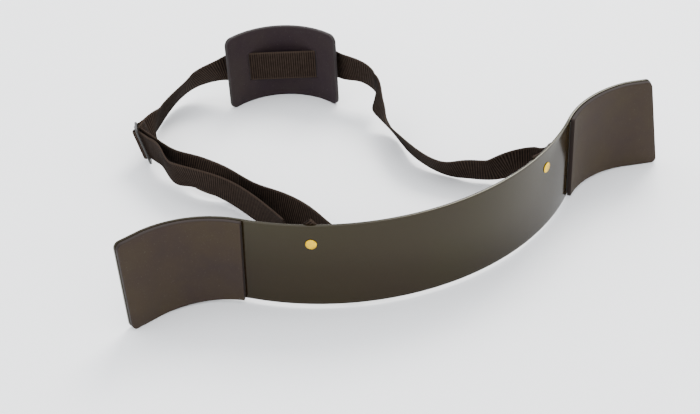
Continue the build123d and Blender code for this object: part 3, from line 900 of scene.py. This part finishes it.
# ------------------------------------------------------------------ neck pad
def neck_columns():
    """Angles of the pad's columns on its front and back faces, from its middle to a corner.

    The slot lies between the last of the middle columns and the one after it."""
    front, back = NECK_R - NECK_T / 2, NECK_R + NECK_T / 2
    slot_in, slot_out = (
        (math.acos(d / front), math.acos(d / back))
        for d in (SPAN_DISTANCE + WEB_T / 2 + SLOT_GAP, SPAN_DISTANCE - WEB_T / 2 - SLOT_GAP))
    edge = NECK_ARC - NECK_CORNER / NECK_R
    half = [tuple(a * k / MIDDLE_COLUMNS for a in slot_in) for k in range(MIDDLE_COLUMNS + 1)]
    half += [tuple(a + (edge - a) * k / OUTER_COLUMNS for a in slot_out)
             for k in range(OUTER_COLUMNS + 1)]
    return half


def neck_pad_mesh():
    """Curved foam pad with rounded corners and two upright slots."""
    slot_low = (NECK_H - WEB_W) / 2 - SLOT_GAP
    heights = [slot_low * k / END_ROWS for k in range(END_ROWS)]
    heights += [slot_low + (NECK_H - 2 * slot_low) * k / SLOT_ROWS for k in range(SLOT_ROWS + 1)]
    heights += [NECK_H - slot_low + slot_low * k / END_ROWS for k in range(1, END_ROWS + 1)]
    half = [(front, back, 0.0) for front, back in neck_columns()]
    last = half[-1][0]
    half += [(last, last, math.pi / 2 * k / CORNER_STEPS) for k in range(1, CORNER_STEPS + 1)]
    columns = [(-f, -b, -a) for f, b, a in reversed(half[1:])] + half

    def place(i, j, level):
        pull, offset = level
        front, back, rounding = columns[i]
        side = -1 if front < 0 else 1
        share = (NECK_T / 2 - offset) / NECK_T
        reach = NECK_CORNER - pull
        angle = abs(front) + (abs(back) - abs(front)) * share
        angle += reach * math.sin(abs(rounding)) / NECK_R
        drawn = pull + reach * (1 - math.cos(rounding))
        radius = NECK_R - offset
        z = NECK_H / 2 + (heights[j] - NECK_H / 2) * (NECK_H - 2 * drawn) / NECK_H
        point = NECK_CENTRE + AWAY * (radius * math.cos(angle)) + UP * z
        point += CHORD * (side * radius * math.sin(angle))
        return tuple(point), (side * angle * NECK_R, z)

    middle = len(half) - 1
    slots = [(i, i + 1, END_ROWS, END_ROWS + SLOT_ROWS)
             for i in (middle + MIDDLE_COLUMNS, middle - MIDDLE_COLUMNS - 1)]
    levels = edge_levels(NECK_T / 2, -NECK_T / 2, NECK_EDGE)
    return sheet_mesh("neck_foam_pad", levels, len(columns), len(heights), place, slots)


neck_foam = foam(
    "neck_foam", (0.0140, 0.0070, 0.0110), (0.0210, 0.0135, 0.0125),
    speck=(0.045, 0.035, 0.035), cut=(0.026, 0.021, 0.021))
neck_pad = neck_pad_mesh()
finish_piece(neck_pad, neck_foam, "neck_foam", "neck_pad")
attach(neck_pad, "neck_pad")

# ------------------------------------------------------------------ slider
slider_plastic = moulded("slider_plastic", (0.010, 0.009, 0.008), (0.018, 0.016, 0.014), 0.34)
paint_nodes(slider_plastic, "slider_frame")

# ------------------------------------------------------------------ floor, light and camera
floor_mesh = bpy.data.meshes.new("floor")
floor_corners = [(FLOOR_HALF * x, FLOOR_HALF * y, 0)
                 for x, y in ((-1, -1), (1, -1), (1, 1), (-1, 1))]
floor_mesh.from_pydata(floor_corners, [], [(0, 1, 2, 3)])
floor = bpy.data.objects.new("floor", floor_mesh)
bpy.context.collection.objects.link(floor)
floor_mat, floor_tree, floor_shader = material("floor_pale")
feed(floor_tree, floor_shader, {"Base Color": (0.95, 0.955, 0.965, 1), "Roughness": 0.75})
floor_mesh.materials.append(floor_mat)

world = bpy.data.worlds.new("studio")
bpy.context.scene.world = world
world.use_nodes = True
sky = world.node_tree.nodes["Background"]
feed(world.node_tree, sky, {"Color": (0.95, 0.97, 1.0, 1), "Strength": 2.4})

key_data = bpy.data.lights.new("key", "AREA")
key_data.shape = "SQUARE"
key_data.size = KEY_SIZE
key_data.energy = KEY_WATTS
key_data.color = (1.0, 0.98, 0.94)
key = bpy.data.objects.new("key", key_data)
key.location = KEY_PLACE
key.rotation_euler = (-Vector(KEY_PLACE)).to_track_quat("-Z", "Y").to_euler()
bpy.context.collection.objects.link(key)

heading = Vector((math.sin(CAMERA_YAW), math.cos(CAMERA_YAW), 0))
view = heading * math.cos(CAMERA_PITCH) - UP * math.sin(CAMERA_PITCH)
level_right = heading.cross(UP)
level_up = level_right.cross(view)
right = level_right * math.cos(CAMERA_ROLL) + level_up * math.sin(CAMERA_ROLL)
up = level_up * math.cos(CAMERA_ROLL) - level_right * math.sin(CAMERA_ROLL)
camera_data = bpy.data.cameras.new("camera")
camera_data.sensor_fit = "HORIZONTAL"
camera_data.sensor_width = CAMERA_SENSOR
camera_data.lens = CAMERA_LENS
camera = bpy.data.objects.new("camera", camera_data)
axes = Matrix((right, up, -view)).transposed()
camera.matrix_world = Matrix.Translation(CAMERA_PLACE) @ axes.to_4x4()
bpy.context.collection.objects.link(camera)
bpy.context.scene.camera = camera
